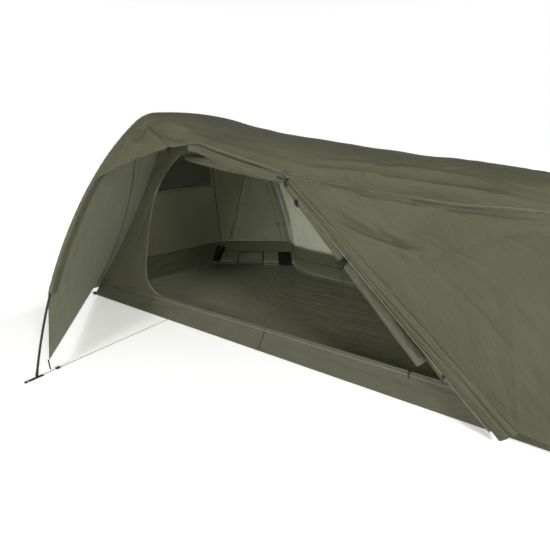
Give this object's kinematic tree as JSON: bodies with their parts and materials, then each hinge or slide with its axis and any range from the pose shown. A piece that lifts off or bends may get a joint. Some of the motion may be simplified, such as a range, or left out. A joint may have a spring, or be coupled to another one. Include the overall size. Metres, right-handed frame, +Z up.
{
  "type": "tunnel tent",
  "caption": "Low tunnel tent on two hoops, pitched, with a fly over an inner tent, its side door unzipped and rolled back along a slanted edge.",
  "frame": {"origin": "on the ground under the middle of the pitched tent's outline", "axes": "+X towards the foot end, +Z up, -Y towards the side with the doors"},
  "size_m": [2.7708, 2.02, 1],
  "materials": {
    "fly_nylon": "coated ripstop nylon, satin",
    "inner_nylon": "uncoated nylon, matte",
    "groundsheet": "coated nylon, satin",
    "insect_mesh": "knitted mesh",
    "webbing": "woven tape, matte",
    "guy_cord": "braided cord",
    "anodised_aluminium": "black anodised",
    "moulded_plastic": "moulded"
  },
  "bodies": {
    "tent_body": {"back_mesh": "insect_mesh", "back_wall": "inner_nylon", "base_cord": "guy_cord", "corner_web_far": "webbing", "corner_web_near": "webbing", "door_roll_side": "inner_nylon", "door_roll_top": "inner_nylon", "door_tie_lower": "webbing", "door_tie_upper": "webbing", "floor": "groundsheet", "fly_back": "fly_nylon", "fly_door_gather": "fly_nylon", "fly_door_roll": "fly_nylon", "fly_near_panel": "fly_nylon", "fly_roof": "fly_nylon", "fly_zip": "webbing", "foot_end_panel": "fly_nylon", "foot_loop_far": "webbing", "foot_loop_near": "webbing", "foot_pole_crown": "anodised_aluminium", "foot_pole_far": "anodised_aluminium", "foot_pole_near": "anodised_aluminium", "foot_sleeve": "fly_nylon", "foot_wall": "inner_nylon", "hang_clip": "moulded_plastic", "head_buckle": "moulded_plastic", "head_end_panel": "fly_nylon", "head_gore": "inner_nylon", "head_hip_far": "fly_nylon", "head_hip_near": "fly_nylon", "head_loop_far": "webbing", "head_loop_near": "webbing", "head_wall": "inner_nylon", "hoop_pocket": "webbing", "hoop_strap_far": "webbing", "hoop_strap_near": "webbing", "inner_roof": "inner_nylon", "main_pole_crown": "anodised_aluminium", "main_pole_far_lower": "anodised_aluminium", "main_pole_far_upper": "anodised_aluminium", "main_pole_near_lower": "anodised_aluminium", "main_pole_near_upper": "anodised_aluminium", "main_pole_tip_far": "moulded_plastic", "main_pole_tip_near": "moulded_plastic", "main_shock_cord": "guy_cord", "main_sleeve": "fly_nylon", "mesh_pocket": "insect_mesh", "near_wall_foot": "inner_nylon", "near_wall_head": "inner_nylon", "tub_back": "inner_nylon", "tub_head": "inner_nylon", "tub_near": "inner_nylon", "wall_tie": "webbing"},
    "fly_slider_body": {"fly_slider": "moulded_plastic"},
    "fly_pull_body": {"fly_pull": "moulded_plastic"},
    "sill_slider_body": {"sill_slider": "moulded_plastic"},
    "sill_pull_body": {"sill_pull": "moulded_plastic"},
    "clip_pull_body": {"clip_pull": "moulded_plastic"},
    "tongue_body": {"buckle_tongue": "moulded_plastic"},
    "adjuster_body": {"cord_adjuster": "moulded_plastic"}
  },
  "joints": [
    {"name": "fly_zip_slide", "type": "slide", "parent": "tent_body", "child": "fly_slider_body", "axis": [-0.7331, 0.027, 0.6796], "range_m": [-0.18, 0.74]},
    {"name": "fly_pull_swing", "type": "hinge", "parent": "fly_slider_body", "child": "fly_pull_body", "pos_m": [0.68723, -0.38397, 0.16269], "axis": [-1, 0, 0], "range_deg": [0, 120]},
    {"name": "sill_zip_slide", "type": "slide", "parent": "tent_body", "child": "sill_slider_body", "axis": [-1, 0, 0], "range_m": [-0.07, 1.15]},
    {"name": "sill_pull_swing", "type": "hinge", "parent": "sill_slider_body", "child": "sill_pull_body", "pos_m": [0.57765, -0.33085, 0.11376], "axis": [-1, 0, 0], "range_deg": [0, 110]},
    {"name": "clip_pull_swing", "type": "hinge", "parent": "tent_body", "child": "clip_pull_body", "pos_m": [-0.62235, -0.24056, 0.838], "axis": [-1, 0, 0], "range_deg": [0, 120]},
    {"name": "buckle_release", "type": "slide", "parent": "tent_body", "child": "tongue_body", "axis": [-0.9191, 0.3939, 0], "range_m": [0, 0.025]},
    {"name": "cord_adjuster_slide", "type": "slide", "parent": "tent_body", "child": "adjuster_body", "axis": [0, 1, 0], "range_m": [-0.04, 0.3]}
  ]
}
